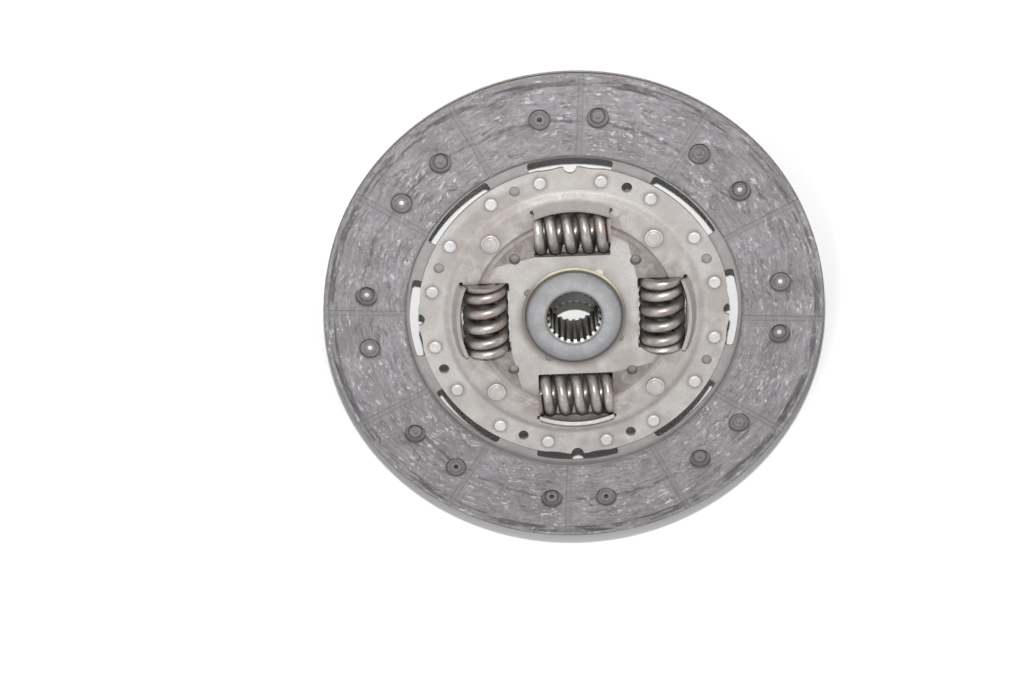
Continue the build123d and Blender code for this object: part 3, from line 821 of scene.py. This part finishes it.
# the pale plugs are painted light in the bores
addEyes("paintedLightEyes", eyes["bright"], steelMaterial("eyePaintedLight", eyes["brightLook"]))
addEyes("darkEyes", eyes["darkSpots"], facingRivetMaterial)
print("rivet bores filled")


# hub
hubLook = {
    "base": (0.415, 0.418, 0.432),
    "shade": (0.31, 0.312, 0.322),
    "dark": (0.10, 0.095, 0.085),
    "olive": (0.12, 0.12, 0.095),
    "violet": (0.16, 0.145, 0.155),
    "deep": (0.035, 0.030, 0.034),
    "land": (0.48, 0.40, 0.345),
    "tip": (0.92, 0.92, 0.90),
    "rootR": (12.5, 12.85),
    "mouthR": (13.5, 13.3),
    "landZ": (9.0, 24.0),
    "faceZ": 27.6,
    "tipDepth": (2.2, 1.5),
    "shutDepth": (0.6, 1.2),
    "insideDepth": (0.1, 0.5),
    "edgeShadeDepth": (3.5, 1.5),
    "edgeShadeR": (16.5, 23.0),
    "rolledR": (21.6, 22.4),
    # the darker rings are each a radius, half a width and a fade
    "lipDark": (23.5, 0.3, 1.4),
    "mouthDark": (13.6, 0.25, 0.9),
    # each is a direction and the degrees from it between which it fades
    "litSide": (-90.0, 62.0, 96.0),
    "shutSide": (-90.0, 80.0, 120.0),
    "edgeShadeSide": (-90.0, 40.0, 140.0),
    "rounding": 0.25,
    "metallic": 0.6,
    "roughness": 0.34,
}


def hubBore(tree, look, radius, angle, z, rays):
    # painted shade: the spline lands fade to dark deeper inside, between the teeth and on the upper wall
    # below the mouth; painted highlight: the tooth ends are bright on the lower side
    top = look["faceZ"]
    land = blendColour(tree, mapped(tree, z, *look["landZ"], smooth=True), look["deep"], look["land"])
    land = blendColour(tree, mapped(tree, rays, 0.44, 0.60), land, look["olive"])
    land = blendColour(tree, mapped(tree, radius, *look["rootR"]), land, look["deep"])
    lit = sideFade(tree, angle, look["litSide"], 1.0, 0.0)
    land = stained(tree, land, depthFade(tree, z, top, look["tipDepth"]), lit, look["tip"])
    shut = sideFade(tree, angle, look["shutSide"], 0.0, 0.7)
    return stained(tree, land, shut, depthFade(tree, z, top, look["shutDepth"]), look["deep"])


def hubMaterial(look):
    material, tree, shader = newMaterial("hubSteel")
    place, radius, angle, z = discPlace(tree)
    top = look["faceZ"]
    spoke = joined(tree, both(tree, angle, 0.55), both(tree, radius, 0.05))
    rays = noise(tree, spoke, 1.6, 4, 0.6)
    cloud = noise(tree, place, 0.12, 5, 0.6)
    grain = noise(tree, place, 1.4, 5, 0.7)
    colour = blendColour(tree, mapped(tree, cloud, 0.38, 0.64), look["base"], look["shade"])
    colour = blendColour(tree, mapped(tree, rays, 0.46, 0.62, 0.0, 0.5), colour, look["shade"])
    colour = blendColour(tree, mapped(tree, grain, 0.52, 0.72, 0.0, 0.4), colour, look["dark"])
    lip = both(tree, band(tree, radius, *look["lipDark"]), mapped(tree, grain, 0.3, 0.6, 0.25, 0.6))
    colour = blendColour(tree, lip, colour, look["dark"])
    colour = stained(tree, colour, band(tree, radius, *look["mouthDark"]), 0.6, look["dark"])
    inside = mapped(tree, radius, *look["mouthR"])
    inside = both(tree, inside, depthFade(tree, z, top, look["insideDepth"]))
    colour = blendColour(tree, inside, colour, hubBore(tree, look, radius, angle, z, rays))

    # painted shade: the collar's face darkens outward toward its rounded rim, and most on its lower side
    below = sideFade(tree, angle, look["edgeShadeSide"], 1.0, 0.5)
    worn = both(tree, mapped(tree, radius, *look["edgeShadeR"], smooth=True), below)
    worn = both(tree, worn, depthFade(tree, z, top, look["edgeShadeDepth"]))
    colour = stained(tree, colour, worn, 0.74, look["violet"])
    rolled = mapped(tree, radius, *look["rolledR"], smooth=True)
    rolled = both(tree, rolled, mapped(tree, grain, 0.3, 0.6, 0.7, 1.0))
    colour = stained(tree, colour, rolled, 0.6, look["dark"])
    rough = surface(tree, shader, colour, look, grain, 0.06, 0.16)
    feed(tree, shader.inputs["Roughness"], plus(tree, rough, both(tree, rolled, 0.22)))
    height = plus(tree, both(tree, rays, 0.4), both(tree, grain, 0.5))
    rounded(tree, bump(tree, shader, height, 0.3, 0.1 * mm), look["rounding"])
    return material


dress("splined_hub", hubMaterial(hubLook))


# bushes and the friction ring, moulded plastic
plasticLook = {
    "frontBush": {
        "base": (0.60, 0.58, 0.37), "worn": (0.74, 0.72, 0.55), "dirtAndShade": (0.155, 0.142, 0.132),
        "roughness": 0.36, "paleSide": (82.0, 28.0, 75.0),
    },
    "rearBush": {
        "base": (0.42, 0.40, 0.27), "worn": (0.55, 0.53, 0.40), "dirtAndShade": (0.14, 0.12, 0.08),
        "roughness": 0.45,
    },
    "frictionRing": {
        "base": (0.09, 0.085, 0.08), "worn": (0.16, 0.155, 0.15), "dirtAndShade": (0.04, 0.04, 0.04),
        "roughness": 0.7,
    },
    "glow": 0.05,
    "glowReach": (0.001, 0.001, 0.0006),
    "cavity": 2,
    "rounding": 0.2,
}


def plasticMaterial(name, look):
    material, tree, shader = newMaterial(name)
    place, _, angle, _ = discPlace(tree)
    cloud = noise(tree, place, 0.18, 4, 0.6)
    grain = noise(tree, place, 1.8, 4, 0.65)
    colour = blendColour(tree, mapped(tree, cloud, 0.35, 0.65), look["base"], look["worn"])
    colour = blendColour(tree, mapped(tree, grain, 0.50, 0.75, 0.0, 0.55), colour, look["dirtAndShade"])
    # painted shade in corners and gaps
    corner = shadedCorners(tree, plasticLook["cavity"], 0.8, 0.35, 0.75)
    colour = blendColour(tree, corner, colour, look["dirtAndShade"])
    if "paleSide" in look:
        # the front bush is darker away from its upper side
        darkened = sideFade(tree, angle, look["paleSide"], 0.0, 0.95)
        darkened = plus(tree, darkened, mapped(tree, grain, 0.3, 0.7, -0.15, 0.15))
        colour = blendColour(tree, darkened, colour, look["dirtAndShade"])
    surface(tree, shader, colour, look, grain, 0.05, 0.2)
    shader.inputs["Subsurface Weight"].default_value = plasticLook["glow"]
    shader.inputs["Subsurface Radius"].default_value = plasticLook["glowReach"]
    shader.inputs["Subsurface Scale"].default_value = 1.0
    rounded(tree, bump(tree, shader, grain, 0.25, 0.08 * mm), plasticLook["rounding"])
    return material


dress("front_bush", plasticMaterial("frontBushPlastic", plasticLook["frontBush"]))
dress("rear_bush", plasticMaterial("rearBushPlastic", plasticLook["rearBush"]))
dress("friction_ring", plasticMaterial("frictionRingPlastic", plasticLook["frictionRing"]))
print("hub and bushes dressed")


# damper springs: a wire section turned round the axis, then spaced and ground flat at both ends
springs = {
    "length": 36.0,
    "wire": 2.6,
    "outer": 11.2,
    "turns": 5.75,
    "axis": 42.4,
    "height": 20.6,
    "phases": (200.0, 250.0, 160.0, 250.0),  # where each wire starts round its own axis
    "marked": 1,  # the one with paint, and painted shade on its lower side
    "tipShare": 0.25,  # share of the wire that is left at its tips
    "ramp": 0.15,  # share of the open coils over which the pitch grows
    "section": 28,
    "stepsPerTurn": 44,
    "travel": 7.5,  # degrees the hub turns each way
    "lean": 1.5,  # more squash in mm, as the window ends lean when the hub turns
    "base": (0.262, 0.238, 0.228),
    "pale": (0.44, 0.41, 0.39),
    "dark": (0.080, 0.066, 0.064),
    "bronze": (0.34, 0.275, 0.23),
    "paint": (0.42, 0.20, 0.17),
    "paintX": (15.4, 2.2, 0.6),  # middle, half width and fade
    "paintY": (45.5, 3.0, 1.0),
    "lowerShadeY": (41.0, 34.0),  # where the painted shade begins and is full
    "cavity": 3,
    "metallic": 0.78,
    "roughness": 0.37,
}


def springHeight(turn):
    # the end coils lie closed, the rest open evenly
    wire = 2 * springs["wire"]
    spare = springs["length"] + 2 * springs["tipShare"] * wire - wire * springs["turns"]
    u = min(max((turn - 1) / (springs["turns"] - 2), 0), 1)
    w = springs["ramp"]
    if u < w:
        share = u * u / (2 * w)
    elif u > 1 - w:
        share = 1 - w - (1 - u) ** 2 / (2 * w)
    else:
        share = u - w / 2
    return -springs["tipShare"] * wire + wire * turn + spare * share / (1 - w)


def springMaterial(name, painted):
    material, tree, shader = newMaterial(name)
    place = discPlace(tree)[0]
    cloud = noise(tree, place, 0.15, 4, 0.6)
    grain = noise(tree, place, 0.9, 5, 0.65)
    speck = noise(tree, place, 3.5, 3, 0.6)
    colour = blendColour(tree, mapped(tree, cloud, 0.36, 0.66), springs["base"], springs["pale"])
    warm = mapped(tree, noise(tree, place, 0.09, 3, 0.5), 0.50, 0.66, 0.0, 0.5)
    colour = blendColour(tree, warm, colour, springs["bronze"])
    colour = blendColour(tree, mapped(tree, grain, 0.48, 0.74, 0.0, 0.55), colour, springs["dark"])
    # painted shade in corners and gaps
    corner = shadedCorners(tree, springs["cavity"], 0.75, 0.3, 0.8)
    colour = blendColour(tree, corner, colour, springs["dark"])
    if painted:
        split = tree.nodes.new("ShaderNodeSeparateXYZ")
        tree.links.new(place, split.inputs[0])
        x, y, _ = split.outputs
        mark = both(tree, band(tree, x, *springs["paintX"]), band(tree, y, *springs["paintY"]))
        mark = both(tree, mark, mapped(tree, grain, 0.42, 0.58))
        colour = stained(tree, colour, mark, 0.18, springs["paint"])
        # painted shade on the side toward the disc's middle
        lowerShade = mapped(tree, y, *springs["lowerShadeY"], 0.0, 0.85, smooth=True)
        colour = blendColour(tree, lowerShade, colour, springs["dark"])
    surface(tree, shader, colour, springs, grain, 0.06, 0.14)
    height = plus(tree, both(tree, grain, 0.5), both(tree, speck, 0.2))
    bump(tree, shader, height, 0.3, 0.08 * mm)
    return material


def windSpring(name):
    # a circle swept round the axis, then each ring of points lifted to its height
    section, turns = springs["section"], springs["turns"]
    bpy.ops.object.select_all(action="DESELECT")
    bpy.ops.mesh.primitive_circle_add(
        vertices=section,
        radius=springs["wire"] * mm,
        location=((springs["outer"] - springs["wire"]) * mm, 0, 0),
        rotation=(pi / 2, 0, 0),
    )
    coil = bpy.context.object
    coil.name = name
    bpy.ops.object.transform_apply(location=True, rotation=True, scale=True)
    screw = coil.modifiers.new("turns", "SCREW")
    screw.axis = "Z"
    screw.angle = turns * 2 * pi
    screw.steps = screw.render_steps = round(turns * springs["stepsPerTurn"])
    screw.use_merge_vertices = False
    bpy.ops.object.modifier_apply(modifier=screw.name)
    steps = len(coil.data.vertices) / section - 1
    for vertex in coil.data.vertices:
        vertex.co.z += springHeight((vertex.index // section) * turns / steps) * mm
    return coil


def grindEnds():
    # cut the active coil flat at both ends and fill what is left open
    top = (0, 0, springs["length"] * mm)
    bpy.ops.object.mode_set(mode="EDIT")
    bpy.ops.mesh.select_all(action="SELECT")
    bpy.ops.mesh.bisect(plane_co=(0, 0, 0), plane_no=(0, 0, 1), use_fill=True, clear_inner=True)
    bpy.ops.mesh.select_all(action="SELECT")
    bpy.ops.mesh.bisect(plane_co=top, plane_no=(0, 0, 1), use_fill=True, clear_outer=True)
    bpy.ops.mesh.select_all(action="DESELECT")
    bpy.ops.mesh.select_non_manifold()
    bpy.ops.mesh.edge_face_add()
    bpy.ops.mesh.select_all(action="SELECT")
    bpy.ops.mesh.normals_make_consistent(inside=False)
    bpy.ops.object.mode_set(mode="OBJECT")


def addSpring(index, material):
    coil = windSpring(f"coil_{index + 1}")
    grindEnds()
    axis, height, length = springs["axis"], springs["height"], springs["length"]
    window = radians(90 * index)
    turned = Matrix.Rotation(radians(springs["phases"][index]), 4, "Z")
    centred = Matrix.Translation((0, 0, -length / 2 * mm))
    laid = Matrix.Translation((axis * mm, 0, height * mm)) @ Matrix.Rotation(-pi / 2, 4, "X")
    coil.data.transform(Matrix.Rotation(window, 4, "Z") @ laid @ turned @ centred)
    bpy.ops.object.shade_smooth_by_angle(angle=radians(35))
    coil.data.materials.clear()
    coil.data.materials.append(material)
    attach(coil, "springs")
    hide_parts(f"damper_spring_{index + 1}")
    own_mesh(coil)
    return coil


plainSpring = springMaterial("springSteel", False)
markedSpring = springMaterial("springSteelMarked", True)
for index in range(len(springs["phases"])):
    addSpring(index, markedSpring if index == springs["marked"] else plainSpring)
print("springs added")
